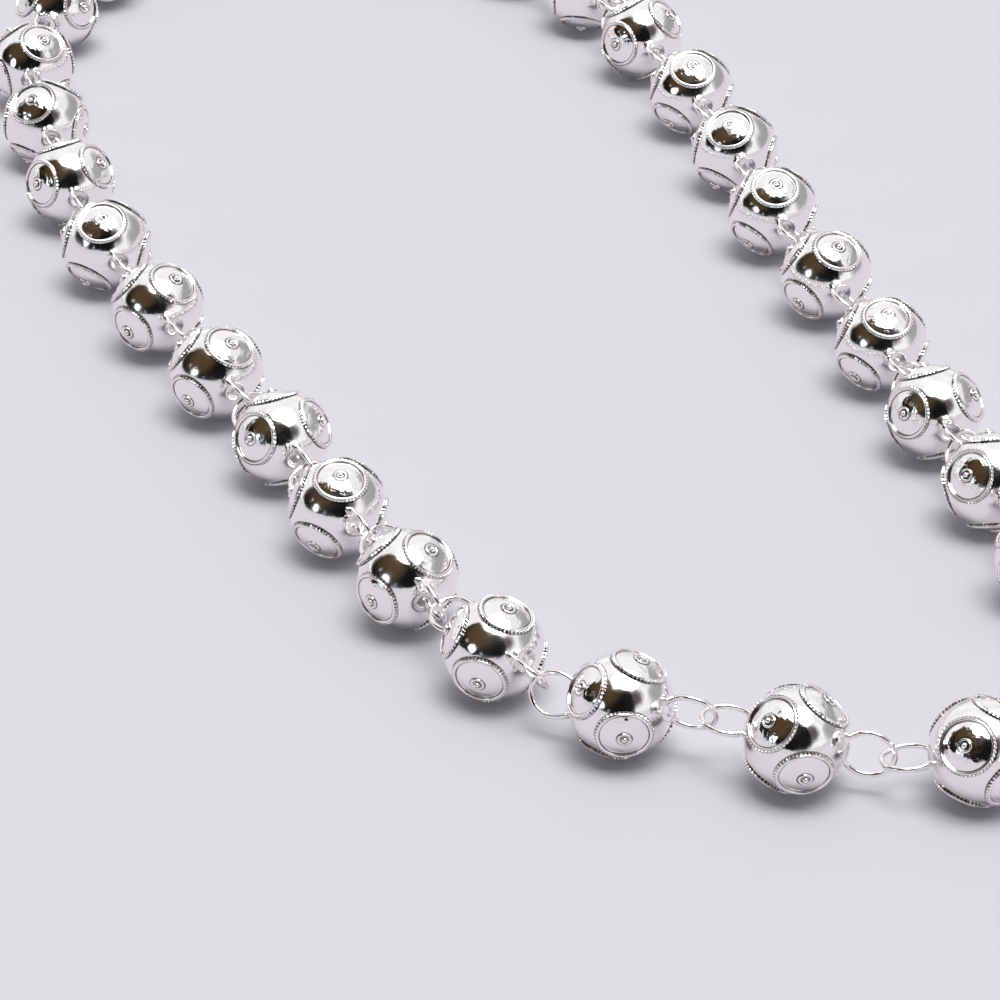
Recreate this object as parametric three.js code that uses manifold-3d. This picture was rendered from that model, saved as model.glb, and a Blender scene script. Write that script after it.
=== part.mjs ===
// A beaded necklace of silver, laid down as one closed loop. Units are millimetres, +Z is up, and the
// loop lies on z = 0 with the middle of its box on the Z axis.
//
// Each bead is a hollow ball on a pin of wire. Six round motifs of wire are soldered on the ball, and
// the pin ends in a round eye on either side. The eye of one bead is hooked through the eye of the
// next, so there is no thread. A plain barrel clasp closes the loop and takes the place of one bead.

import * as THREE from 'three';
import { ConvexGeometry } from 'three/addons/geometries/ConvexGeometry.js';
import { mergeVertices } from 'three/addons/utils/BufferGeometryUtils.js';
import Module from 'manifold-3d';

const wasm = await Module();
wasm.setup();

// ---------------------------------------------------------------------------- driving dimensions

const BALL_RADIUS = 4.2; // the bare ball, 8.4 mm across
const RING_REACH = 4.42; // how far the milled rings stand out from the ball's centre
const WIRE = 0.45; // the wire of the pin and its eyes
const EYE_HALF_WIDTH = 1.8; // to the middle of the wire, so an eye is 4.05 wide outside
const EYE_TIP = 7.8; // from the middle of the bead to the wire at the tip of its eye
const EYE_FOOT = 3.6; // where the eye closes inside the ball
const PLACES = 31; // 30 beads and the clasp

// The motifs lie in two rows of three, one row round each end of the ball.
const MOTIF_FROM_POLE = 63.5; // degrees
const MOTIFS_IN_ROW = 3;
const MOTIF_STEP = 360 / MOTIFS_IN_ROW; // degrees round the pin
const RIDGE_ANGLE = 33; // from the middle of a motif to its milled ring, degrees
const FIELD_ANGLE = 26; // to the foot of the ring inside
const RIDGE_SIDES = 7;
const FIELD_SIDES = 6;
const BARE_FROM_POLE = 38; // the bare silver between two motifs of one row, degrees from the pin
const EYE_SIDES = 7;
const WIRE_SIDES = 4;
const MERGE_WITHIN = 1e-4;

// The clasp is a round barrel, faceted so that it rests on a flat.
const CLASP_WIDTH = 7.6;
const CLASP_HALF_LENGTH = 4.0;
const CLASP_CHAMFER = 1.1;
const CLASP_SIDES = 12;

// ------------------------------------------------------------------------------------- the route

// Where the chain lies. Place 0 is the clasp at the back of the neck, and the places are counted
// along the left side, round the front and back up the right side.
const ROUTE = [
  { place: 0, x: -22, y: 110 },
  { place: 2, x: -43.5, y: 94.5 },
  { place: 3, x: -47, y: 81.6 },
  { place: 4, x: -48.3, y: 67.3 },
  { place: 5, x: -45.6, y: 53 },
  { place: 6, x: -42, y: 39 },
  { place: 7, x: -37.4, y: 25.2 },
  { place: 8, x: -31.6, y: 11.9 },
  { place: 9, x: -25.5, y: -0.9 },
  { place: 10, x: -19.1, y: -13.2 },
  { place: 11, x: -13.8, y: -25.5 },
  { place: 12, x: -7.7, y: -37.4 },
  { place: 13, x: -0.5, y: -48.4 },
  { place: 14, x: 9.6, y: -56.9 },
  { place: 15, x: 23.1, y: -62.1 },
  { place: 16, x: 37.4, y: -63.8 },
  { place: 17, x: 49.5, y: -58 },
  { place: 18, x: 53, y: -45 },
  { place: 19, x: 45.5, y: -34 },
  { place: 20, x: 42.3, y: -20.9 },
  { place: 21, x: 38.4, y: -8.4 },
  { place: 22, x: 34.7, y: 4.7 },
  { place: 23, x: 30.6, y: 18.7 },
  { place: 24, x: 26.3, y: 32.5 },
  { place: 25, x: 23.3, y: 46.5 },
  { place: 26, x: 19.5, y: 60.5 },
  { place: 27, x: 14.8, y: 74.2 },
  { place: 29, x: 2, y: 98 },
];
const MIDDLE = { x: 2.26, y: 22.92 }; // the middle of the loop's box in the route's own numbers

// How single balls have turned on their wire: rolled round it, swung to the left and nodded up, in
// degrees. The others are rolled a little further from bead to bead.
const TURNED = [
  { place: 7, roll: 104, swing: 0, nod: 0 },
  { place: 8, roll: 72, swing: 0, nod: 0 },
  { place: 9, roll: 77, swing: 0, nod: 0 },
  { place: 10, roll: 35, swing: -5, nod: 0 },
  { place: 11, roll: 94, swing: -1, nod: 6 },
  { place: 12, roll: 66, swing: -10, nod: 0 },
  { place: 13, roll: 81, swing: -1, nod: 11 },
  { place: 14, roll: 75, swing: 3, nod: 10 },
  { place: 15, roll: 74, swing: -5, nod: -6 },
  { place: 16, roll: 78, swing: -3, nod: 3 },
  { place: 20, roll: 93, swing: 0, nod: 0 },
  { place: 21, roll: 81, swing: -2, nod: 0 },
  { place: 22, roll: 28, swing: 0, nod: -3 },
  { place: 23, roll: 36, swing: 0, nod: 0 },
  { place: 24, roll: 24, swing: 0, nod: 0 },
  { place: 25, roll: 11, swing: 0, nod: 0 },
];
const ROLL_STEP = 47; // degrees from each ball to the next

// An eye points along its own link, and leans from upright by so many degrees. The two eyes of a link
// stand across each other.
const FRONT_LEAN = 38;
const BACK_LEAN = 128;

// The wires of a taut link meet at the tips of its eyes. In a slack link they lie against each other's
// side, so there both eyes are swung a little to the left.
const SLACK_LINK = 14.1; // a link is slack below this, from ball to ball
const SLACK_SWING = 3; // degrees

// The eyes in front, bent as they happen to be: how far each is turned to the left of its link and up,
// and how far it leans, in degrees.
const BENT_EYES = [
  { place: 10, end: 'front', left: 3, up: 0, lean: 22 },
  { place: 11, end: 'back', left: 3, up: 0, lean: 112 },
  { place: 11, end: 'front', left: -3, up: 9, lean: 21 },
  { place: 12, end: 'back', left: -4, up: 4, lean: 112 },
  { place: 12, end: 'front', left: -11, up: 10, lean: 19 },
  { place: 13, end: 'back', left: 2, up: 4, lean: 104 },
  { place: 13, end: 'front', left: -20, up: 8, lean: 38 },
  { place: 14, end: 'back', left: 17, up: -5, lean: 160 },
  { place: 14, end: 'front', left: 2, up: 4, lean: 20 },
  { place: 15, end: 'back', left: -3, up: 3, lean: 93 },
  { place: 15, end: 'front', left: -4, up: -7, lean: -6 },
  { place: 16, end: 'back', left: 5, up: -7, lean: 89 },
];

// One smooth closed curve through the route's rows, read at each whole place.
function layPlaces() {
  const rows = ROUTE.length;
  const knot = (k) => {
    const row = ROUTE[(k + rows) % rows];
    const lap = Math.floor(k / rows) * PLACES;
    return { t: row.place + lap, at: new THREE.Vector2(row.x - MIDDLE.x, row.y - MIDDLE.y) };
  };
  const slope = (k) => {
    const [before, after] = [knot(k - 1), knot(k + 1)];
    return after.at.sub(before.at).divideScalar(after.t - before.t);
  };
  const places = [];
  for (let k = 0; k < rows; k += 1) {
    const [from, to] = [knot(k), knot(k + 1)];
    const span = to.t - from.t;
    for (let place = from.t; place < to.t; place += 1) {
      const s = (place - from.t) / span;
      const at = new THREE.Vector2();
      at.addScaledVector(from.at, 2 * s ** 3 - 3 * s ** 2 + 1);
      at.addScaledVector(slope(k), (s ** 3 - 2 * s ** 2 + s) * span);
      at.addScaledVector(to.at, 3 * s ** 2 - 2 * s ** 3);
      at.addScaledVector(slope(k + 1), (s ** 3 - s ** 2) * span);
      places.push(at);
    }
  }
  return places;
}

// ---------------------------------------------------------------------------- directions and turns

const rad = THREE.MathUtils.degToRad;

// A direction at an angle from +X, with +Y at turn 0 and +Z at turn 90.
function fromPole(angle, turn) {
  const across = Math.sin(rad(angle));
  return new THREE.Vector3(
    Math.cos(rad(angle)),
    across * Math.cos(rad(turn)),
    across * Math.sin(rad(turn)),
  );
}

// The middles of the six motifs on a ball whose pin lies along X.
function motifMiddles() {
  const middles = [];
  for (let k = 0; k < MOTIFS_IN_ROW; k += 1) {
    middles.push(fromPole(MOTIF_FROM_POLE, k * MOTIF_STEP));
    middles.push(fromPole(180 - MOTIF_FROM_POLE, (k + 0.5) * MOTIF_STEP));
  }
  return middles;
}

// The turn of a ball: along its heading, then swung, nodded and rolled.
function ballTurn(heading, { roll, swing, nod }) {
  const turn = new THREE.Matrix4().makeRotationZ(heading + rad(swing));
  turn.multiply(new THREE.Matrix4().makeRotationY(-rad(nod)));
  return turn.multiply(new THREE.Matrix4().makeRotationX(rad(roll)));
}

// ---------------------------------------------------------------------------------- solid helpers

function toSolid(geometry) {
  const bare = geometry.clone();
  bare.deleteAttribute('normal');
  bare.deleteAttribute('uv');
  const merged = mergeVertices(bare, MERGE_WITHIN);
  return new wasm.Manifold(new wasm.Mesh({
    numProp: 3,
    vertProperties: Float32Array.from(merged.attributes.position.array),
    triVerts: Uint32Array.from(merged.index.array),
  }));
}

function toGeometry(solid) {
  const mesh = solid.getMesh();
  const geometry = new THREE.BufferGeometry();
  const points = new THREE.BufferAttribute(Float32Array.from(mesh.vertProperties), 3);
  geometry.setAttribute('position', points);
  geometry.setIndex(Array.from(mesh.triVerts));
  geometry.computeVertexNormals();
  return geometry;
}

// ----------------------------------------------------------------------------------- the sub-parts

// A ball with its motifs raised. Points are spread over the unit sphere and joined as a convex shell,
// and each point then moves out to the height of the silver there.
function ballGeometry() {
  const reaches = new Map();
  const keyOf = (unit) => unit.toArray().map((v) => v.toFixed(4)).join();
  const points = [];
  const put = (direction, reach) => {
    const unit = direction.clone().normalize();
    reaches.set(keyOf(unit), reach);
    points.push(unit);
  };
  for (const middle of motifMiddles()) {
    const side = new THREE.Vector3(1, 0, 0).cross(middle).normalize();
    const ring = (sides, angle, reach) => {
      for (let k = 0; k < sides; k += 1) {
        const edge = middle.clone().applyAxisAngle(side, rad(angle));
        edge.applyAxisAngle(middle, rad((k + 0.5) * (360 / sides)));
        put(edge, reach);
      }
    };
    put(middle, BALL_RADIUS);
    ring(FIELD_SIDES, FIELD_ANGLE, BALL_RADIUS);
    ring(RIDGE_SIDES, RIDGE_ANGLE, RING_REACH);
  }
  for (const end of [0, 180]) {
    put(fromPole(end, 0), BALL_RADIUS);
    for (let k = 0; k < MOTIFS_IN_ROW; k += 1) {
      const turn = (k + (end ? 0 : 0.5)) * MOTIF_STEP;
      put(fromPole(Math.abs(end - BARE_FROM_POLE), turn), BALL_RADIUS);
    }
  }
  const geometry = new ConvexGeometry(points);
  const position = geometry.attributes.position;
  const unit = new THREE.Vector3();
  for (let k = 0; k < position.count; k += 1) {
    unit.fromBufferAttribute(position, k).normalize();
    unit.multiplyScalar(reaches.get(keyOf(unit)));
    position.setXYZ(k, unit.x, unit.y, unit.z);
  }
  return geometry;
}

// An eye on the +X side, in the upright plane, leaned over round X. Its foot is inside the ball.
function eyeGeometry(lean) {
  const eye = new THREE.TorusGeometry(EYE_HALF_WIDTH, WIRE / 2, WIRE_SIDES, EYE_SIDES);
  eye.scale((EYE_TIP - EYE_FOOT) / 2 / EYE_HALF_WIDTH, 1, 1);
  eye.rotateX(Math.PI / 2);
  eye.translate((EYE_TIP + EYE_FOOT) / 2, 0, 0);
  eye.rotateX(rad(lean));
  return eye;
}

function claspGeometry() {
  const end = CLASP_HALF_LENGTH;
  const corner = CLASP_WIDTH / 2 / Math.cos(Math.PI / CLASP_SIDES);
  const profile = [
    new THREE.Vector2(0, -end),
    new THREE.Vector2(corner - CLASP_CHAMFER, -end),
    new THREE.Vector2(corner, -end + CLASP_CHAMFER),
    new THREE.Vector2(corner, end - CLASP_CHAMFER),
    new THREE.Vector2(corner - CLASP_CHAMFER, end),
    new THREE.Vector2(0, end),
  ];
  const barrel = new THREE.LatheGeometry(profile, CLASP_SIDES);
  barrel.rotateY(Math.PI / CLASP_SIDES);
  barrel.rotateZ(-Math.PI / 2);
  return barrel;
}

// ------------------------------------------------------------------------------------ the assembly

const silver = new THREE.MeshStandardMaterial({ color: 0xe6e4e1, roughness: 0.08, metalness: 1 });

function turnOf(place) {
  const usual = { roll: (place * ROLL_STEP) % MOTIF_STEP, swing: 0, nod: 0 };
  return TURNED.find((row) => row.place === place) ?? usual;
}

function headingOf(from, to) {
  return Math.atan2(to.y - from.y, to.x - from.x);
}

// One eye of the bead at a place, turned towards the neighbour that it is hooked to.
function placeEye(place, end, at, neighbour) {
  const slack = at.distanceTo(neighbour) < SLACK_LINK;
  const usual = { left: slack ? SLACK_SWING : 0, up: 0, lean: end === 'front' ? FRONT_LEAN : BACK_LEAN };
  const bend = BENT_EYES.find((row) => row.place === place && row.end === end) ?? usual;
  const eye = eyeGeometry(end === 'front' ? bend.lean : -bend.lean);
  eye.rotateY(-rad(bend.up));
  return eye.rotateZ(headingOf(at, neighbour) + rad(bend.left));
}

function lowest(geometry) {
  geometry.computeBoundingBox();
  return geometry.boundingBox.min.z;
}

const group = new THREE.Group();
const places = layPlaces();
const ball = ballGeometry();
const barrel = claspGeometry();

places.forEach((at, place) => {
  const before = (place + PLACES - 1) % PLACES;
  const after = (place + 1) % PLACES;
  const heading = headingOf(places[before], places[after]);
  const body = (place === 0 ? barrel : ball).clone();
  if (place === 0) body.rotateZ(heading);
  else body.applyMatrix4(ballTurn(heading, turnOf(place)));

  const front = placeEye(place, 'front', at, places[after]);
  const back = placeEye(place, 'back', at, places[before]);
  const solid = toSolid(body).add(toSolid(front)).add(toSolid(back));
  const piece = new THREE.Mesh(toGeometry(solid), silver.clone());
  piece.name = place === 0 ? 'clasp' : `bead_${String(place).padStart(2, '0')}`;
  piece.position.set(at.x, at.y, -lowest(body));
  group.add(piece);
});

export default group;
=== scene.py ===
# %% [markdown]
# # A beaded silver necklace, laid on a pale table
#
# The necklace is a closed loop of thirty hollow silver balls and one barrel clasp. Every ball sits on
# a short pin of wire of its own, and both ends of the pin are turned into an eye. The eye of one ball
# is hooked through the eye of the next, so no thread runs through the beads.
#
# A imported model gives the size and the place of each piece. It is loaded first and never moved. Each
# plain ball of it is then replaced by a finely modelled one in the same place.

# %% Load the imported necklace
import math

import bpy
from mathutils import Matrix, Vector


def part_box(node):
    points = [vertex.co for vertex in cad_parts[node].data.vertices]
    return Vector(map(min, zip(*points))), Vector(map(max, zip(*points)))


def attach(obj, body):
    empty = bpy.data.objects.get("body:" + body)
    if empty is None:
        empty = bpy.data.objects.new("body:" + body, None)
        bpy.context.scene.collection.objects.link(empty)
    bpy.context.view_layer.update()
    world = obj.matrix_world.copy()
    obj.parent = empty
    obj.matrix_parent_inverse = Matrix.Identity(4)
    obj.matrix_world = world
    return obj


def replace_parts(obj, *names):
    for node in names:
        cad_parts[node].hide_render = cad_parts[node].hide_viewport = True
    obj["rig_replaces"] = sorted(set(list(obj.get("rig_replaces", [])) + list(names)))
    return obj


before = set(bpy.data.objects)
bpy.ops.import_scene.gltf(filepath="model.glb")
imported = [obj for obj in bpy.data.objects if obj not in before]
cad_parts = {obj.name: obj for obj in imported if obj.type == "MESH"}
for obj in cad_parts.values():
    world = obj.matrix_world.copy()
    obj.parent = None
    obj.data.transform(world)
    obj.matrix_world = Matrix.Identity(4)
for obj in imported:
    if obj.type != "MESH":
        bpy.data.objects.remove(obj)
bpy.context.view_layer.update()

# %% [markdown]
# ## Units and three small helpers
#
# Blender works in metres, and a jeweller in millimetres, so every size below is written as so many
# times MM. An operator acts on all that is selected. The first helper therefore selects only the
# objects that it is given. The second opens one object in edit mode with chosen points selected, and
# the third closes it again.

# %% Helpers for selecting
MM = 0.001


def take(*objects):
    """Select these objects and nothing else; the first becomes the active one."""
    bpy.ops.object.select_all(action="DESELECT")
    for thing in objects:
        thing.select_set(True)
    bpy.context.view_layer.objects.active = objects[0]


def edit_points(thing, wanted):
    """Open thing in edit mode with only the points selected whose place is wanted."""
    take(thing)
    bpy.ops.object.mode_set(mode="EDIT")
    bpy.ops.mesh.select_mode(type="VERT")
    bpy.ops.mesh.select_all(action="DESELECT")
    bpy.ops.object.mode_set(mode="OBJECT")
    for point in thing.data.vertices:
        point.select = wanted(point.co)
    bpy.ops.object.mode_set(mode="EDIT")


def close_edit():
    bpy.ops.object.mode_set(mode="OBJECT")


print("one millimetre is", MM, "of Blender's units")

# %% [markdown]
# ## The camera
#
# The necklace is seen from in front and from above. The camera stands 35 to 50 centimetres from it and
# has a long lens, so the nearest beads look less than half as large again as the farthest ones.

# %% Camera
CAMERA_PLACE = Vector((-2.26, -377.92, 191.2)) * MM
CAMERA_TILT = 60.55  # degrees up from looking straight down
LENS = 160.2
SENSOR_WIDTH = 36

bpy.ops.object.camera_add(location=CAMERA_PLACE, rotation=(math.radians(CAMERA_TILT), 0, 0))
camera = bpy.context.object
camera.data.lens = LENS
camera.data.sensor_width = SENSOR_WIDTH
camera.data.clip_start = 10 * MM
camera.data.dof.use_dof = False
bpy.context.scene.camera = camera
print("camera at", [round(v, 3) for v in camera.location])

# %% [markdown]
# ## Writing a finish as nodes
#
# A finish is a small tree of nodes. These helpers add a node, join it up and hand back its output, so
# that the trees below read like a recipe. A value that is the same all over the silver is set on the
# shader itself. Noise is given as how many of its bumps lie along a metre, and how much detail it has.

# %% Helpers for finishes
def new_finish(name):
    finish = bpy.data.materials.new(name)
    finish.use_nodes = True
    return finish, finish.node_tree, finish.node_tree.nodes["Principled BSDF"]


def add_node(tree, kind, inputs=(), **settings):
    """Add a node, set its settings, and fill its inputs with numbers or with other nodes' outputs."""
    node = tree.nodes.new(kind)
    for setting, value in settings.items():
        setattr(node, setting, value)
    for socket, value in dict(inputs).items():
        if isinstance(value, bpy.types.NodeSocket):
            tree.links.new(value, node.inputs[socket])
        else:
            node.inputs[socket].default_value = value
    return node


def maths(tree, operation, *values):
    return add_node(tree, "ShaderNodeMath", enumerate(values), operation=operation).outputs[0]


def grain(tree, place, scale, detail):
    inputs = {"Vector": place, "Scale": scale, "Detail": detail}
    return add_node(tree, "ShaderNodeTexNoise", inputs).outputs["Fac"]


def spread(tree, value, low, high, to_low, to_high):
    """Ease a value from one span into another, flat beyond its ends."""
    inputs = {"Value": value, "From Min": low, "From Max": high, "To Min": to_low, "To Max": to_high}
    node = add_node(tree, "ShaderNodeMapRange", inputs, interpolation_type="SMOOTHSTEP")
    return node.outputs["Result"]


def patches(tree, place, noise, between, become):
    """Noise in soft patches: what lies between two values is eased into what they become."""
    return spread(tree, grain(tree, place, *noise), *between, *become)


def blend_colours(tree, share, first, second):
    node = add_node(tree, "ShaderNodeMix", {"Factor": share}, data_type="RGBA")
    for socket, colour in ((node.inputs[6], first), (node.inputs[7], second)):
        if isinstance(colour, bpy.types.NodeSocket):
            tree.links.new(colour, socket)
        else:
            socket.default_value = (*colour, 1)
    return node.outputs[2]


def relief(tree, height, depth, below=None):
    inputs = {"Height": height, "Strength": 1.0, "Distance": depth}
    if below:
        inputs["Normal"] = below
    return add_node(tree, "ShaderNodeBump", inputs).outputs["Normal"]


def plug_metal(tree, shader, colour, roughness, normal=None):
    """Join the parts of a metal's finish to its shader."""
    shader.inputs["Metallic"].default_value = 1.0
    tree.links.new(colour, shader.inputs["Base Color"])
    tree.links.new(roughness, shader.inputs["Roughness"])
    if normal:
        tree.links.new(normal, shader.inputs["Normal"])


print("finish helpers are ready")

# %% [markdown]
# ## The ball's own measures
#
# All balls are alike. A ball is 8.4 mm across, and its pin lies along X. Six round motifs are soldered
# on it, in two rows of three: one row round each end of the pin, and the rows staggered, so that every
# motif sits between two of the other row. Angles from the pin and turns round it place them.

# %% Ball and motif sizes
BALL_RADIUS = 4.2 * MM
MOTIF_FROM_POLE = 63.5  # degrees
MOTIFS_IN_ROW = 3
MOTIF_STEP = 360 / MOTIFS_IN_ROW

MILLED_ANGLE = 32.2  # from the middle of a motif to its milled ring
MILLED_REACH = 4.3 * MM  # from the middle of the ball to the middle of the wire
MILLED_WIRE = 0.12 * MM  # half the thickness
SMOOTH_ANGLE = 29.9
SMOOTH_REACH = 4.29 * MM
SMOOTH_WIRE = 0.125 * MM
SEAT_RADIUS = 0.50 * MM  # the tiny ring in the middle
SEAT_WIRE = 0.115 * MM
GRANULE_RADIUS = 0.24 * MM
GRANULE_REACH = 4.33 * MM


def from_pole(angle, turn):
    """A direction at an angle from +X; turn 0 lies towards +Y and turn 90 towards +Z."""
    angle, turn = math.radians(angle), math.radians(turn)
    across = math.sin(angle)
    return Vector((math.cos(angle), across * math.cos(turn), across * math.sin(turn)))


motif_middles = []
for count in range(MOTIFS_IN_ROW):
    motif_middles.append(from_pole(MOTIF_FROM_POLE, count * MOTIF_STEP))
    motif_middles.append(from_pole(180 - MOTIF_FROM_POLE, (count + 0.5) * MOTIF_STEP))
print(len(motif_middles), "motifs on each ball")

# %% [markdown]
# ## Mirror silver
#
# The bare ball is polished like a mirror. Nearly all that one sees of it is the room, so its finish is
# fully metallic and hardly rough. What makes it real is what polishing leaves behind. The sheet is
# faintly uneven from raising it over a form, most of all inside each motif. The polish is a little
# softer in places. Its colour is darkened with painted shade, mixed with some sulphide where a cloth
# can't reach: at the foot of each soldered ring and in the hole round each granule. Both are found
# from the angle to the nearest motif, read from where a point sits on its own ball.

# %% Mirror silver
SILVER = (0.93, 0.92, 0.91)
# the colour of the painted shade and sulphide at the feet of the rings and in the holes
SHADE_AND_SULPHIDE = (0.045, 0.038, 0.034)
SEAT_HOLE = (4.86, 5.94)  # degrees from a motif's middle where the painted shade in its hole begins to fade and ends
FOOT_ANGLES = (28.2, 34.1, 8.8)  # degrees from a motif's middle to where its rings are soldered down
FOOT_WIDTH = 1.3  # degrees that the painted shade reaches to either side of a foot
SHADE_AND_SULPHIDE_PATCHES = ((900, 3), (0.35, 0.65), (0.5, 1))  # noise, its span, and the share of painted shade and sulphide there
MIRROR_PATCHES = ((500, 4), (0.3, 0.75), (0.07, 0.17))  # noise, its span, and the roughness there
CRINKLE_FADE = (27, 22)  # degrees from a motif's middle where its crinkles begin and are full
CRINKLE_NOISE, CRINKLE_DEPTH = (1100, 2), 0.1 * MM
RAISED_NOISE, RAISED_DEPTH = (420, 2), 0.036 * MM  # from raising the sheet over a form
PLANISHED_NOISE, PLANISHED_DEPTH = (1400, 2), 0.016 * MM  # from smoothing it with a flat hammer


def nearest_motif(tree, place):
    """The cosine of the angle between a point of the ball and the nearest motif's middle."""
    straight = add_node(tree, "ShaderNodeVectorMath", {0: place}, operation="NORMALIZE").outputs[0]
    nearest = None
    for middle in motif_middles:
        inputs = {0: straight, 1: middle}
        cosine = add_node(tree, "ShaderNodeVectorMath", inputs, operation="DOT_PRODUCT").outputs["Value"]
        nearest = maths(tree, "MAXIMUM", nearest, cosine) if nearest else cosine
    return nearest


def crinkles(tree, place, cosine):
    """Small unevenness, only inside the rings of a motif."""
    start, full = (math.cos(math.radians(angle)) for angle in CRINKLE_FADE)
    uneven = maths(tree, "SUBTRACT", grain(tree, place, *CRINKLE_NOISE), 0.5)
    return maths(tree, "MULTIPLY", uneven, spread(tree, cosine, start, full, 0, 1))


def shade_in_the_feet(tree, cosine):
    """1 in the holes and at the feet of the rings, where shade is painted, fading to 0 away from them.
    """
    angle = maths(tree, "ARCCOSINE", cosine)
    share = spread(tree, angle, *(math.radians(edge) for edge in SEAT_HOLE), 1, 0)
    for foot in FOOT_ANGLES:
        away = maths(tree, "ABSOLUTE", maths(tree, "SUBTRACT", angle, math.radians(foot)))
        here = spread(tree, away, 0, math.radians(FOOT_WIDTH), 1, 0)
        share = maths(tree, "MAXIMUM", share, here)
    return share


def mirror_silver():
    finish, tree, shader = new_finish("mirror_silver")
    place = add_node(tree, "ShaderNodeTexCoord").outputs["Object"]
    on_ball = add_node(tree, "ShaderNodeAttribute", attribute_name="on_ball").outputs["Vector"]
    cosine = nearest_motif(tree, on_ball)
    patchy = patches(tree, place, *SHADE_AND_SULPHIDE_PATCHES)
    # painted shade and sulphide: dark at the feet of the rings and in the holes round the granules
    dark = maths(tree, "MULTIPLY", shade_in_the_feet(tree, cosine), patchy)
    colour = blend_colours(tree, dark, SILVER, SHADE_AND_SULPHIDE)
    crinkled = relief(tree, crinkles(tree, place, cosine), CRINKLE_DEPTH)
    raised = relief(tree, grain(tree, place, *RAISED_NOISE), RAISED_DEPTH, crinkled)
    planished = relief(tree, grain(tree, place, *PLANISHED_NOISE), PLANISHED_DEPTH, raised)
    plug_metal(tree, shader, colour, patches(tree, place, *MIRROR_PATCHES), planished)
    return finish


mirror = mirror_silver()
print(mirror.name, "has", len(mirror.node_tree.nodes), "nodes")

# %% [markdown]
# ## Wire silver
#
# Drawn wire is about as bright as the balls, but it keeps the fine marks of the drawplate, and its tone
# and polish vary more. Milled wire has notches rolled into it. Its notches hold painted shade, and
# they are dull, because polish never gets down there. The mesh says which of its points lie in a notch.

# %% Wire silver
WIRE_TONES = ((0.96, 0.95, 0.94), (0.86, 0.84, 0.82))
WIRE_TONE_NOISE = (1400, 3)
WIRE_PATCHES = ((2600, 3), (0.3, 0.7), (0.06, 0.18))
DRAWN_NOISE, DRAWN_DEPTH = (5200, 2), 0.004 * MM
# the colour of the painted shade in the notches
NOTCH_SHADE = (0.16, 0.14, 0.13)
NOTCH_SHADE_PATCHES = ((700, 2), (0.3, 0.7), (0.5, 0.95))
MILLED_ROUGHNESS = (0.12, 0.3)  # on a tooth and in a notch


def wire_silver():
    finish, tree, shader = new_finish("wire_silver")
    place = add_node(tree, "ShaderNodeTexCoord").outputs["Object"]
    colour = blend_colours(tree, grain(tree, place, *WIRE_TONE_NOISE), *WIRE_TONES)
    drawn = relief(tree, grain(tree, place, *DRAWN_NOISE), DRAWN_DEPTH)
    plug_metal(tree, shader, colour, patches(tree, place, *WIRE_PATCHES), drawn)
    return finish


def milled_silver():
    finish, tree, shader = new_finish("milled_silver")
    place = add_node(tree, "ShaderNodeTexCoord").outputs["Object"]
    notch = add_node(tree, "ShaderNodeAttribute", attribute_name="notch").outputs["Fac"]
    # painted shade in the notches, in patches
    dark = maths(tree, "MULTIPLY", notch, patches(tree, place, *NOTCH_SHADE_PATCHES))
    colour = blend_colours(tree, dark, SILVER, NOTCH_SHADE)
    plug_metal(tree, shader, colour, spread(tree, notch, 0, 1, *MILLED_ROUGHNESS))
    return finish


wire_finish = wire_silver()
milled = milled_silver()
print(wire_finish.name, "and", milled.name)

# %% [markdown]
# ## The shell of the ball
#
# A ball is raised as two cups and soldered into one shell. It could be turned as a profile, but a
# sphere primitive has the same points in one step. Its poles are first turned to lie along X, where the
# pin goes through. The points round each pole are then pressed in, because the hole was punched from
# outside and its rim is drawn down.

# %% Shell
SHELL_SEGMENTS = 96
SHELL_RINGS = 48
PUNCHED = 0.55 * MM  # how far round the pin the shell is pressed in
PRESSED = 0.94  # what is left there of its reach along the pin


def make_shell():
    bpy.ops.mesh.primitive_uv_sphere_add(
        segments=SHELL_SEGMENTS, ring_count=SHELL_RINGS, radius=BALL_RADIUS
    )
    shell = bpy.context.object
    edit_points(shell, lambda place: True)
    bpy.ops.transform.rotate(value=math.pi / 2, orient_axis="Y", center_override=(0, 0, 0))
    close_edit()
    edit_points(shell, lambda place: math.hypot(place.y, place.z) < PUNCHED)
    bpy.ops.transform.resize(value=(PRESSED, 1, 1), center_override=(0, 0, 0))
    close_edit()
    take(shell)
    bpy.ops.object.shade_smooth()
    shell.data.materials.append(mirror)
    return shell


shell = make_shell()
print("shell:", len(shell.data.polygons), "faces")

# %% [markdown]
# ## The milled ring
#
# Round each motif runs a ring of thin wire with notches rolled into it. A torus is bent round the Z
# axis at the top of the ball. Every third of its cross sections is then drawn in, which cuts a notch
# and leaves a tooth standing on either side. The teeth stay flat shaded, so each one glints by itself.

# %% Milled ring
TEETH = 44
SECTIONS = 3 * TEETH  # the cross sections round a ring, of which every third one is a notch
MILLED_SIDES = 5  # of each cross section
NOTCH_DEPTH = 0.075 * MM


def add_torus(around, across, radius, wire, spot, turn=(0, 0, 0)):
    """A torus with its place and its turn in its mesh."""
    bpy.ops.mesh.primitive_torus_add(
        major_segments=around,
        minor_segments=across,
        major_radius=radius,
        minor_radius=wire,
        location=spot,
        rotation=turn,
    )
    torus = bpy.context.object
    bpy.ops.object.transform_apply(location=True, rotation=True)
    return torus


def ring_at(angle, reach, wire, around, across):
    """A wire ring round +Z, at an angle from Z and a reach from the middle of the ball."""
    angle = math.radians(angle)
    return add_torus(around, across, reach * math.sin(angle), wire, (0, 0, reach * math.cos(angle)))


def in_notch(place):
    section = round(math.atan2(place.y, place.x) / math.tau * SECTIONS)
    return section % 3 == 0


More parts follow.
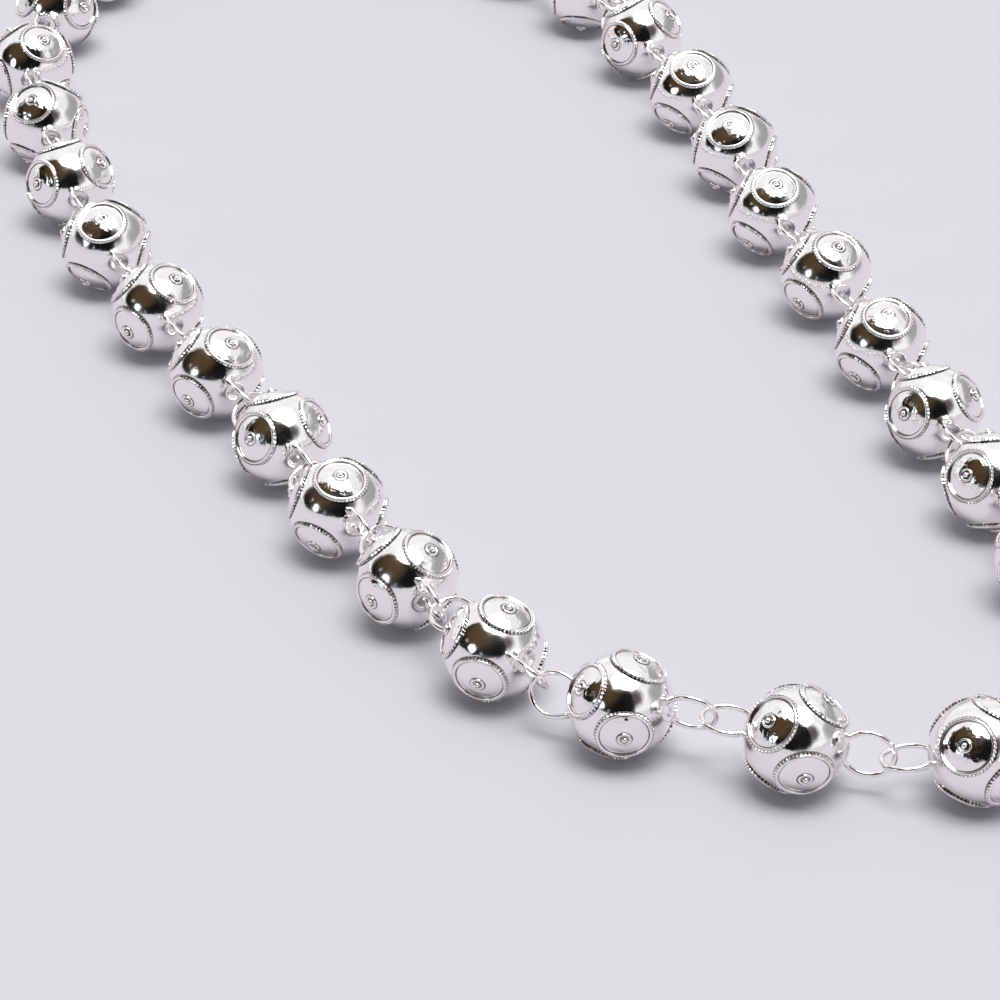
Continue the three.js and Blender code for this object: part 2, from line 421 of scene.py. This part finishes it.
def make_milled_ring():
    ring = ring_at(MILLED_ANGLE, MILLED_REACH, MILLED_WIRE, SECTIONS, MILLED_SIDES)
    edit_points(ring, in_notch)
    bpy.ops.transform.shrink_fatten(value=-NOTCH_DEPTH)
    close_edit()
    notch = ring.data.attributes.new("notch", "FLOAT", "POINT")
    notch.data.foreach_set("value", [float(in_notch(v.co)) for v in ring.data.vertices])
    ring.data.materials.append(milled)
    return ring


milled_ring = make_milled_ring()
print("milled ring:", len(milled_ring.data.polygons), "faces")

# %% [markdown]
# ## The smooth ring, the field, the seat and the granule
#
# Inside the milled ring lies a ring of plain round wire, which frames the motif. The field that it
# frames is stamped out a little from inside, so it is rounder than the ball. In its middle a tiny ring
# seats one granule, a droplet of silver melted into a ball. The rings are a torus and a smaller torus,
# whose inner side is drawn in a little. The field is the top of a smaller sphere, bisected where the
# ball hides its edge. Its open underside is closed by a face of its own, because bisect's own filling
# starts at another corner in each run. The granule is an icosphere, sunk into the field and flattened at
# its foot.

# %% Smooth ring, field, seat and granule
FIELD_EDGE = 28.6  # degrees from the middle of the motif
FIELD_TOP = 4.27 * MM  # from the middle of the ball
FIELD_SEGMENTS = 44
SMOOTH_SEGMENTS = (60, 7)  # round the ring, and round its wire
SEAT_SEGMENTS = (18, 5)
SEAT_DRAWN_IN = 0.97
GRANULE_FOOT = (1.05, 1.05, 0.9)  # how its lower half is spread and flattened


def make_smooth_ring():
    ring = ring_at(SMOOTH_ANGLE, SMOOTH_REACH, SMOOTH_WIRE, *SMOOTH_SEGMENTS)
    bpy.ops.object.shade_smooth()
    ring.data.materials.append(wire_finish)
    return ring


def make_field():
    edge = math.radians(FIELD_EDGE)
    half_width, foot = BALL_RADIUS * math.sin(edge), BALL_RADIUS * math.cos(edge)
    rise = FIELD_TOP - foot
    radius = (half_width ** 2 + rise ** 2) / (2 * rise)
    bpy.ops.mesh.primitive_uv_sphere_add(
        segments=FIELD_SEGMENTS,
        ring_count=FIELD_SEGMENTS,
        radius=radius,
        location=(0, 0, FIELD_TOP - radius),
    )
    field = bpy.context.object
    bpy.ops.object.transform_apply(location=True)
    edit_points(field, lambda place: True)
    bpy.ops.mesh.bisect(plane_co=(0, 0, foot - SMOOTH_WIRE), plane_no=(0, 0, 1), clear_inner=True)
    close_edit()
    edit_points(field, lambda place: place.z < foot - SMOOTH_WIRE / 2)
    bpy.ops.mesh.edge_face_add()
    close_edit()
    bpy.ops.object.shade_smooth()
    field.data.materials.append(mirror)
    return field


def make_seat():
    angle = math.degrees(math.asin(SEAT_RADIUS / FIELD_TOP))
    seat = ring_at(angle, FIELD_TOP, SEAT_WIRE, *SEAT_SEGMENTS)
    edit_points(seat, lambda place: math.hypot(place.x, place.y) < SEAT_RADIUS - SEAT_WIRE / 2)
    bpy.ops.transform.resize(value=(SEAT_DRAWN_IN, SEAT_DRAWN_IN, 1), center_override=(0, 0, 0))
    close_edit()
    bpy.ops.object.shade_smooth()
    seat.data.materials.append(wire_finish)
    return seat


def make_granule():
    bpy.ops.mesh.primitive_ico_sphere_add(
        subdivisions=2, radius=GRANULE_RADIUS, location=(0, 0, GRANULE_REACH)
    )
    granule = bpy.context.object
    bpy.ops.object.transform_apply(location=True)
    edit_points(granule, lambda place: place.z < GRANULE_REACH)
    bpy.ops.transform.resize(value=GRANULE_FOOT, center_override=(0, 0, GRANULE_REACH))
    close_edit()
    bpy.ops.object.shade_smooth()
    granule.data.materials.append(wire_finish)
    return granule


motif_parts = [milled_ring, make_smooth_ring(), make_field(), make_seat(), make_granule()]
take(*motif_parts)
bpy.ops.object.join()
motif = bpy.context.object
motif.name = "motif_pattern"
print("one motif:", len(motif.data.polygons), "faces")

# %% [markdown]
# ## Six motifs on the shell
#
# The motif was made at the top of the ball, facing +Z. Each copy has its own mesh, and that mesh is
# turned so that Z points to the place of its motif. Shell and motifs are soldered on the real bead, so
# they are joined here into one pattern ball. It remembers where each of its points sits on the ball,
# because the mirror finish asks for that after the ball has been turned and laid down.

# %% Pattern ball
def copy_of(pattern, matrix=None):
    """A copy with a mesh of its own, moved inside the mesh."""
    copy = pattern.copy()
    copy.data = pattern.data.copy()
    bpy.context.scene.collection.objects.link(copy)
    if matrix:
        copy.data.transform(matrix)
    return copy


def remember_places(thing):
    """Write down where each point sits now, for a finish that asks after the thing has moved."""
    on_ball = thing.data.attributes.new("on_ball", "FLOAT_VECTOR", "POINT")
    on_ball.data.foreach_set("vector", [value for point in thing.data.vertices for value in point.co])


def solder(shell, motif):
    motifs = []
    for middle in motif_middles:
        turn = Vector((0, 0, 1)).rotation_difference(middle).to_matrix().to_4x4()
        motifs.append(copy_of(motif, turn))
    take(shell, *motifs)
    bpy.ops.object.join()
    ball = bpy.context.object
    remember_places(ball)
    ball.name = "ball_pattern"
    return ball


ball_pattern = solder(shell, motif)
print("pattern ball:", len(ball_pattern.data.polygons), "faces")

# %% [markdown]
# ## An eye of the pin
#
# The pin is one wire. Where it leaves the ball it is bent round into an oval eye, and its end is wound
# round its own foot. A bezier circle with a round bevel is a bent wire already: it is pulled out to the
# oval in edit mode while it is still a curve, so the wire keeps its thickness, and then becomes a mesh.
# The two turns at the foot are small rings threaded on the wire, where it comes out of the shell.

# %% Eye
WIRE = 0.45 * MM
EYE_HALF_WIDTH = 1.8 * MM
EYE_TIP = 7.8 * MM  # from the middle of the ball, as its foot is
EYE_FOOT = 3.6 * MM
EYE_MIDDLE = (EYE_TIP + EYE_FOOT) / 2
EYE_HALF_LENGTH = (EYE_TIP - EYE_FOOT) / 2
TURN_PLACES = (4.36 * MM, 4.58 * MM)  # along the pin, from the middle of the ball
TURN_RADIUS = 0.21 * MM
TURN_WIRE = 0.11 * MM  # half the thickness
TURN_SEGMENTS = (14, 6)
TURN_TILT = 60  # degrees round Y from lying flat
BOW_STEPS = 11  # along the wire, between two points of the curve
BOW_ROUNDNESS = 2  # how finely the round of the wire is cut


def make_bow():
    stretch = EYE_HALF_LENGTH / EYE_HALF_WIDTH
    bpy.ops.curve.primitive_bezier_circle_add(radius=EYE_HALF_WIDTH)
    bow = bpy.context.object
    bow.data.resolution_u = BOW_STEPS
    bow.data.bevel_depth = WIRE / 2
    bow.data.bevel_resolution = BOW_ROUNDNESS
    bpy.ops.object.mode_set(mode="EDIT")
    bpy.ops.curve.select_all(action="SELECT")
    bpy.ops.transform.resize(value=(stretch, 1, 1), center_override=(0, 0, 0))
    bpy.ops.transform.translate(value=(EYE_MIDDLE, 0, 0))
    close_edit()
    bpy.ops.object.convert(target="MESH")
    bow = bpy.context.object
    bow.data.transform(Matrix.Rotation(math.pi / 2, 4, "X"))
    return bow


def strand_height(along):
    """How far from the pin's line the upper strand of an eye runs, at a place along the pin."""
    share = (along - EYE_MIDDLE) / EYE_HALF_LENGTH
    return EYE_HALF_WIDTH * math.sqrt(1 - share ** 2)


def make_turn(along):
    spot = (along, 0, strand_height(along))
    return add_torus(*TURN_SEGMENTS, TURN_RADIUS, TURN_WIRE, spot, (0, math.radians(TURN_TILT), 0))


def make_eye():
    take(make_bow(), *[make_turn(along) for along in TURN_PLACES])
    bpy.ops.object.join()
    bpy.ops.object.shade_smooth()
    eye = bpy.context.object
    eye.data.materials.clear()
    eye.data.materials.append(wire_finish)
    eye.name = "eye_pattern"
    return eye


eye_pattern = make_eye()
print("eye:", len(eye_pattern.data.polygons), "faces")

# %% [markdown]
# ## Where the chain lies
#
# The chain lies in one smooth closed loop of thirty-one places. Place 0 is the clasp at the back of the
# neck. Most rows below come from a separate fitting program and were then moved a little. A
# smooth curve through them gives the three places between. They are the same rows as the packed
# model's, and the model's boxes check them.

# %% Route
PLACES = 31
ROUTE = (  # place, x and y in millimetres
    (0, -22, 110), (2, -43.5, 94.5), (3, -47, 81.6), (4, -48.3, 67.3), (5, -45.6, 53), (6, -42, 39),
    (7, -37.4, 25.2), (8, -31.6, 11.9), (9, -25.5, -0.9), (10, -19.1, -13.2), (11, -13.8, -25.5),
    (12, -7.7, -37.4), (13, -0.5, -48.4), (14, 9.6, -56.9), (15, 23.1, -62.1), (16, 37.4, -63.8),
    (17, 49.5, -58), (18, 53, -45), (19, 45.5, -34), (20, 42.3, -20.9), (21, 38.4, -8.4),
    (22, 34.7, 4.7), (23, 30.6, 18.7), (24, 26.3, 32.5), (25, 23.3, 46.5), (26, 19.5, 60.5),
    (27, 14.8, 74.2), (29, 2, 98),
)
MIDDLE = Vector((2.26, 22.92))  # the middle of the loop in the route's own numbers


def knot(row):
    place, x, y = ROUTE[row % len(ROUTE)]
    lap = row // len(ROUTE)
    return place + lap * PLACES, (Vector((x, y)) - MIDDLE) * MM


def slope(row):
    (start, before), (end, after) = knot(row - 1), knot(row + 1)
    return (after - before) / (end - start)


def lay_places():
    places = []
    for row in range(len(ROUTE)):
        (start, here), (end, there) = knot(row), knot(row + 1)
        span = end - start
        for place in range(start, end):
            s = (place - start) / span
            spot = here * (2 * s ** 3 - 3 * s ** 2 + 1)
            spot += slope(row) * (s ** 3 - 2 * s ** 2 + s) * span
            spot += there * (3 * s ** 2 - 2 * s ** 3)
            spot += slope(row + 1) * (s ** 3 - s ** 2) * span
            places.append(spot)
    return places


places = lay_places()
length = sum((places[k] - places[k - 1]).length for k in range(PLACES))
print("loop length:", round(length / MM), "mm")

# %% [markdown]
# ## How each ball and each eye has turned
#
# A ball is free to roll on the table round its pin, and it can swing a little in its eyes. Sixteen balls
# are turned as they happen to lie, by rows that come from fitting programs too. The others roll on by
# the same step from ball to ball, which never looks regular, because it doesn't divide the turn between
# two motifs. An eye points along its own link. The two eyes of a link stand across each other, and they
# are swung against each other where the link is slack. The eyes in front are bent as they happen to be,
# each by its own row, and ten of those twelve rows come from a fitting program.

# %% Turns
TURNED = {  # place: roll round the pin, swing to the left, nod up, in degrees
    7: (104, 0, 0), 8: (72, 0, 0), 9: (77, 0, 0), 10: (35, -5, 0), 11: (94, -1, 6), 12: (66, -10, 0),
    13: (81, -1, 11), 14: (75, 3, 10), 15: (74, -5, -6), 16: (78, -3, 3), 20: (93, 0, 0),
    21: (81, -2, 0), 22: (28, 0, -3), 23: (36, 0, 0), 24: (24, 0, 0), 25: (11, 0, 0),
}
ROLL_STEP = 47  # degrees from each ball to the next
FRONT_LEAN = 38  # of the eye that faces the next place, from upright
BACK_LEAN = 128  # of the eye that faces the place before
SLACK_LINK = 14.1 * MM  # a link is slack below this, from ball to ball
SLACK_SWING = 3  # degrees
BENT_EYES = {  # place and end: turned left, turned up and leaned, in degrees
    (10, "front"): (3, 0, 22), (11, "back"): (3, 0, 112), (11, "front"): (-3, 9, 21),
    (12, "back"): (-4, 4, 112), (12, "front"): (-11, 10, 19), (13, "back"): (2, 4, 104),
    (13, "front"): (-20, 8, 38), (14, "back"): (17, -5, 160), (14, "front"): (2, 4, 20),
    (15, "back"): (-3, 3, 93), (15, "front"): (-4, -7, -6), (16, "back"): (5, -7, 89),
}


def heading(start, end):
    return math.atan2(end.y - start.y, end.x - start.x)


def eye_turn(place, end):
    step = 1 if end == "front" else -1
    here, other = places[place], places[(place + step) % PLACES]
    swing = SLACK_SWING if (other - here).length < SLACK_LINK else 0
    usual = (swing, 0, FRONT_LEAN if end == "front" else BACK_LEAN)
    left, up, lean = BENT_EYES.get((place, end), usual)
    turn = Matrix.Rotation(heading(here, other) + math.radians(left), 4, "Z")
    turn @= Matrix.Rotation(-math.radians(up), 4, "Y")
    return turn @ Matrix.Rotation(math.radians(step * lean), 4, "X")


def ball_turn(place):
    roll, swing, nod = TURNED.get(place, (place * ROLL_STEP % MOTIF_STEP, 0, 0))
    along = heading(places[place - 1], places[(place + 1) % PLACES])
    turn = Matrix.Rotation(along + math.radians(swing), 4, "Z")
    turn @= Matrix.Rotation(-math.radians(nod), 4, "Y")
    return turn @ Matrix.Rotation(math.radians(roll), 4, "X")


print("balls with a turn of their own:", len(TURNED))

# %% [markdown]
# ## Dents
#
# Thin hollow balls never stay perfectly round. The shell and the wires on it give way together, so a
# dent isn't a push along each face but a gentle shift of all that lies near a spot. A displace modifier
# does that: its cloud texture has a red, a green and a blue part, and each one shifts the points along
# one axis. It is applied after a ball has its place, so every ball gets dents of its own.

# %% Dents
DENT_SIZE = 2.6 * MM
DENT_SHIFT = 0.07 * MM

dents = bpy.data.textures.new("dents", "CLOUDS")
dents.cloud_type = "COLOR"
dents.noise_scale = DENT_SIZE
dents.noise_depth = 0


def dent(ball):
    take(ball)
    give = ball.modifiers.new("dents", "DISPLACE")
    give.texture = dents
    give.direction = "RGB_TO_XYZ"
    give.texture_coords = "LOCAL"
    give.strength = DENT_SHIFT
    bpy.ops.object.modifier_apply(modifier=give.name)


print("dents shift a point by up to", DENT_SHIFT / MM / 2, "mm along each axis")

# %% [markdown]
# ## Thirty beads
#
# A bead is one copy of the pattern ball, turned, laid in its place, dented and set down so that it just
# touches the table, with a copy of the eye at each end. The three are joined, because on the real bead
# the pin is fixed in the ball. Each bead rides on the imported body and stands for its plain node.

# %% Beads
def set_down(ball):
    """Move a ball up or down until it just touches the table, and say how high its middle then is."""
    lowest = min(point.co.z for point in ball.data.vertices)
    ball.data.transform(Matrix.Translation((0, 0, -lowest)))
    return -lowest


def add_eyes(place, height):
    spot = Matrix.Translation((places[place].x, places[place].y, height))
    return [copy_of(eye_pattern, spot @ eye_turn(place, end)) for end in ("front", "back")]


def make_bead(place):
    here = places[place]
    spot = Matrix.Translation((here.x, here.y, 0)) @ ball_turn(place)
    ball = copy_of(ball_pattern, spot)
    dent(ball)
    height = set_down(ball)
    eyes = add_eyes(place, height)
    take(ball, *eyes)
    bpy.ops.object.join()
    bead = bpy.context.object
    bead.name = f"silver_bead_{place:02d}"
    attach(bead, "root")
    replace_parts(bead, f"bead_{place:02d}")
    return bead


beads = [make_bead(place) for place in range(1, PLACES)]
print("beads:", len(beads), "with", len(beads[0].data.polygons), "faces each")

# %% [markdown]
# ## The clasp
#
# A barrel clasp closes the loop at the back of the neck. It is a plain turned piece: a drum with
# rounded shoulders and a raised band near each end, and an eye on either side like those of the beads. A
# cylinder is the start. A bevel rounds its shoulders, its end faces are inset and drawn out into low
# domes, and the bands are rings of round wire. Its turning marks are a fine ripple along its axis.

# %% Clasp finish
TURNED_TONES = ((0.95, 0.94, 0.93), (0.85, 0.83, 0.80))
TURNED_TONE_NOISE = (600, 3)
TURNED_PATCHES = ((1500, 4), (0.3, 0.75), (0.07, 0.22))
TOOL_MARKS = 42000  # radians of ripple along a metre
TOOL_DEPTH = 0.002 * MM


def turned_silver():
    finish, tree, shader = new_finish("turned_silver")
    place = add_node(tree, "ShaderNodeTexCoord").outputs["Object"]
    on_ball = add_node(tree, "ShaderNodeAttribute", attribute_name="on_ball").outputs["Vector"]
    along = add_node(tree, "ShaderNodeSeparateXYZ", {"Vector": on_ball}).outputs["X"]
    tooled = maths(tree, "SINE", maths(tree, "MULTIPLY", along, TOOL_MARKS))
    colour = blend_colours(tree, grain(tree, place, *TURNED_TONE_NOISE), *TURNED_TONES)
    marks = relief(tree, tooled, TOOL_DEPTH)
    plug_metal(tree, shader, colour, patches(tree, place, *TURNED_PATCHES), marks)
    return finish


clasp_finish = turned_silver()
print(clasp_finish.name)

# %% Clasp
CLASP_RADIUS = 3.8 * MM  # over its bands
CLASP_HALF_LENGTH = 4.0 * MM
SHOULDER = 1.0 * MM
BAND_WIRE = 0.2 * MM  # half the thickness
DRUM_RADIUS = CLASP_RADIUS - BAND_WIRE
BAND_PLACES = (-2.3 * MM, 2.3 * MM)
DOME_STEPS = ((1.0 * MM, 0.14 * MM), (0.9 * MM, 0.06 * MM))  # inwards and outwards
DRUM_SEGMENTS = 72
SHOULDER_SEGMENTS = 6
BAND_SEGMENTS = (DRUM_SEGMENTS, 8)
END_FACE = 0.999  # a point belongs to an end face beyond this share of the half length
SMOOTH_BELOW = 40  # degrees between two faces that shade as one


def make_drum():
    bpy.ops.mesh.primitive_cylinder_add(
        vertices=DRUM_SEGMENTS,
        radius=DRUM_RADIUS,
        depth=2 * CLASP_HALF_LENGTH,
        rotation=(0, math.pi / 2, 0),
    )
    drum = bpy.context.object
    bpy.ops.object.transform_apply(rotation=True)
    rounding = drum.modifiers.new("shoulders", "BEVEL")
    rounding.width = SHOULDER
    rounding.segments = SHOULDER_SEGMENTS
    bpy.ops.object.modifier_apply(modifier=rounding.name)
    for side in (-1, 1):
        edit_points(drum, lambda place: place.x * side > END_FACE * CLASP_HALF_LENGTH)
        for inwards, outwards in DOME_STEPS:
            bpy.ops.mesh.inset(thickness=inwards)
            bpy.ops.transform.translate(value=(side * outwards, 0, 0))
        close_edit()
    return drum


def make_band(along):
    return add_torus(*BAND_SEGMENTS, DRUM_RADIUS, BAND_WIRE, (along, 0, 0), (0, math.pi / 2, 0))


def make_clasp():
    take(make_drum(), *[make_band(along) for along in BAND_PLACES])
    bpy.ops.object.join()
    bpy.ops.object.shade_smooth_by_angle(angle=math.radians(SMOOTH_BELOW))
    clasp = bpy.context.object
    clasp.data.materials.clear()
    clasp.data.materials.append(clasp_finish)
    remember_places(clasp)
    along = heading(places[-1], places[1])
    spot = Matrix.Translation((places[0].x, places[0].y, 0)) @ Matrix.Rotation(along, 4, "Z")
    clasp.data.transform(spot)
    height = set_down(clasp)
    take(clasp, *add_eyes(0, height))
    bpy.ops.object.join()
    clasp.name = "barrel_clasp"
    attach(clasp, "root")
    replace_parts(clasp, "clasp")
    return clasp


clasp = make_clasp()
print("clasp:", len(clasp.data.polygons), "faces")

# %% [markdown]
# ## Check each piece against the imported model
#
# The patterns aren't part of the necklace, so they are removed once everything is made. Each finished
# piece is then compared with the box of the node that it stands for.

# %% Check and clear up
def furthest_from_node(piece, node):
    low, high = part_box(node)
    corners = [Vector(corner) for corner in piece.bound_box]
    most = 0
    for axis in range(3):
        most = max(most, abs(min(c[axis] for c in corners) - low[axis]))
        most = max(most, abs(max(c[axis] for c in corners) - high[axis]))
    return most


for pattern in (ball_pattern, eye_pattern, motif):
    bpy.data.objects.remove(pattern)
misfits = [furthest_from_node(bead, bead["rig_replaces"][0]) for bead in beads]
misfits.append(furthest_from_node(clasp, "clasp"))
print("a side of a piece is at most", round(max(misfits) / MM, 2), "mm from its node's")

# %% [markdown]
# ## The table
#
# The necklace lies on a smooth, very pale sheet with a breath of lavender in it. It is matt, and it
# reaches far enough that the balls mirror it up to their horizon. It has a faint painted glow of its
# own, though it is no lamp, which keeps the shadows under the balls from going black.

# %% Table
TABLE_WIDTH = 5.0
TABLE_COLOUR = (0.448, 0.436, 0.468)
TABLE_SHADE = 0.97  # how light its darker patches are beside the rest
TABLE_NOISE = (9, 2)
TABLE_PAINTED_GLOW = 0.095  # the strength of the sheet's faint painted glow
TABLE_ROUGHNESS = 0.85
TABLE_SHEEN = 0.15


def table_finish():
    finish, tree, shader = new_finish("pale_table")
    place = add_node(tree, "ShaderNodeTexCoord").outputs["Object"]
    darker = tuple(TABLE_SHADE * value for value in TABLE_COLOUR)
    colour = blend_colours(tree, grain(tree, place, *TABLE_NOISE), TABLE_COLOUR, darker)
    tree.links.new(colour, shader.inputs["Base Color"])
    shader.inputs["Roughness"].default_value = TABLE_ROUGHNESS
    shader.inputs["Specular IOR Level"].default_value = TABLE_SHEEN
    # a faint painted glow in the table's own colour, though the table is no lamp
    shader.inputs["Emission Color"].default_value = (*TABLE_COLOUR, 1)
    shader.inputs["Emission Strength"].default_value = TABLE_PAINTED_GLOW
    return finish


bpy.ops.mesh.primitive_plane_add(size=TABLE_WIDTH)
table = bpy.context.object
table.name = "table"
table.data.materials.append(table_finish())
print("table:", TABLE_WIDTH, "m wide")

# %% [markdown]
# ## The room that the silver mirrors
#
# Polished silver shows its surroundings more than itself, so the light here is a whole small room,
# painted on the world by direction: a white tent nearly all round, much the brightest overhead, which
# keeps the shadows short and soft. The tent is open in front, where the camera stands. Behind that
# opening the room is dark, with a brown wall to the left and a few small cool lamps, and the tent is
# dusky at the opening's right edge. A grey cloth hangs low on the right. Low down runs a pale strip, the
# near edge of the table's cover.
#
# A direction is given by its azimuth, 0 towards the camera and positive to the right, and by its
# elevation above the table. Both are in degrees, and so are the sizes of what is painted there.

# %% Room
TENT = (1.02, 1.01, 1.01)
FOLD = (0.88, 0.87, 0.88)  # where the tent hangs in a fold
FOLD_PATCHES = ((2.4, 2), (0.38, 0.6), (0, 1))  # this noise runs over directions, not along metres
KEY = (10.5, 10.5, 10.55)  # the brightest part, overhead
KEY_DIRECTION, KEY_SIZE = (25, 79), (8, 28)  # a size is where a patch begins to fade and where it ends
GREY_SIDE = (0.28, 0.27, 0.29)
GREY_MIDDLE, GREY_HALF = (110, 12), (40, 24)
GREY_FADE, GREY_SHARE = (0, 2), 0.85
OPENING_MIDDLE, OPENING_HALF = (-38, 37), (70, 32)
OPENING_FADE = (0.75, 1.25)
BLACK = (0.006, 0.006, 0.007)
BROWN = (0.080, 0.050, 0.024)
BROWN_DIRECTION, BROWN_SIZE = (-56, 50), (8, 42)
DUSK = (0.10, 0.09, 0.085)
DUSK_DIRECTION, DUSK_SIZE = (36, 40), (6, 24)
LAMP = (1.6, 1.8, 1.95)
LAMPS = (((-54, 19), 10, 1), ((-74, 27), 3.5, 0.25), ((-30, 14), 3, 0.25))  # direction, size, share
LAMP_CORE = 0.6  # the share of a lamp's size that is full
STRIP = (0.70, 0.68, 0.725)
STRIP_EDGE = (8, 10)


def direction(azimuth, elevation):
    azimuth, elevation = math.radians(azimuth), math.radians(elevation)
    level = math.cos(elevation)
    return level * math.sin(azimuth), -level * math.cos(azimuth), math.sin(elevation)


def near_direction(tree, look, aim, inner, outer):
    """1 within the inner angle of a direction, fading to 0 at the outer one."""
    inputs = {0: look, 1: direction(*aim)}
    cosine = add_node(tree, "ShaderNodeVectorMath", inputs, operation="DOT_PRODUCT").outputs["Value"]
    return spread(tree, cosine, math.cos(math.radians(outer)), math.cos(math.radians(inner)), 0, 1)


def off_middle(tree, angle, middle, half):
    """How far an angle lies from the middle, in half widths, to the fourth power."""
    away = maths(tree, "SUBTRACT", angle, math.radians(middle))
    away = maths(tree, "DIVIDE", away, math.radians(half))
    return maths(tree, "POWER", maths(tree, "ABSOLUTE", away), 4)


def off_patch(tree, angles, middle, half):
    """0 in the middle of a patch with round corners, and 1 at its edge; angles are of the look."""
    across, up = (off_middle(tree, *parts) for parts in zip(angles, middle, half))
    return maths(tree, "ADD", across, up)


def paint_room():
    world = bpy.data.worlds.new("tent")
    bpy.context.scene.world = world
    world.use_nodes = True
    tree = world.node_tree
    look = add_node(tree, "ShaderNodeTexCoord").outputs["Generated"]
    parts = add_node(tree, "ShaderNodeSeparateXYZ", {"Vector": look}).outputs
    azimuth = maths(tree, "ARCTAN2", parts["X"], maths(tree, "MULTIPLY", parts["Y"], -1))
    angles = (azimuth, maths(tree, "ARCSINE", parts["Z"]))

    light = blend_colours(tree, patches(tree, look, *FOLD_PATCHES), FOLD, TENT)
    key = near_direction(tree, look, KEY_DIRECTION, *KEY_SIZE)
    light = blend_colours(tree, key, light, KEY)
    side = spread(tree, off_patch(tree, angles, GREY_MIDDLE, GREY_HALF), *GREY_FADE, GREY_SHARE, 0)
    light = blend_colours(tree, side, light, GREY_SIDE)
    dusk = near_direction(tree, look, DUSK_DIRECTION, *DUSK_SIZE)
    light = blend_colours(tree, dusk, light, DUSK)

    dark = blend_colours(tree, near_direction(tree, look, BROWN_DIRECTION, *BROWN_SIZE), BLACK, BROWN)
    for aim, size, share in LAMPS:
        lamp = near_direction(tree, look, aim, LAMP_CORE * size, size)
        dark = blend_colours(tree, maths(tree, "MULTIPLY", lamp, share), dark, LAMP)
    opening = spread(tree, off_patch(tree, angles, OPENING_MIDDLE, OPENING_HALF), *OPENING_FADE, 1, 0)
    light = blend_colours(tree, opening, light, dark)

    strip = spread(tree, angles[1], *(math.radians(edge) for edge in STRIP_EDGE), 1, 0)
    light = blend_colours(tree, strip, light, STRIP)
    tree.links.new(light, tree.nodes["Background"].inputs["Color"])
    return world


room = paint_room()
bpy.context.scene.view_settings.view_transform = "Standard"
print(room.name, "has", len(room.node_tree.nodes), "nodes")

# %% [markdown]
# ## The last step
#
# Nothing is left selected at the end.

# %% Finish
bpy.ops.object.select_all(action="DESELECT")
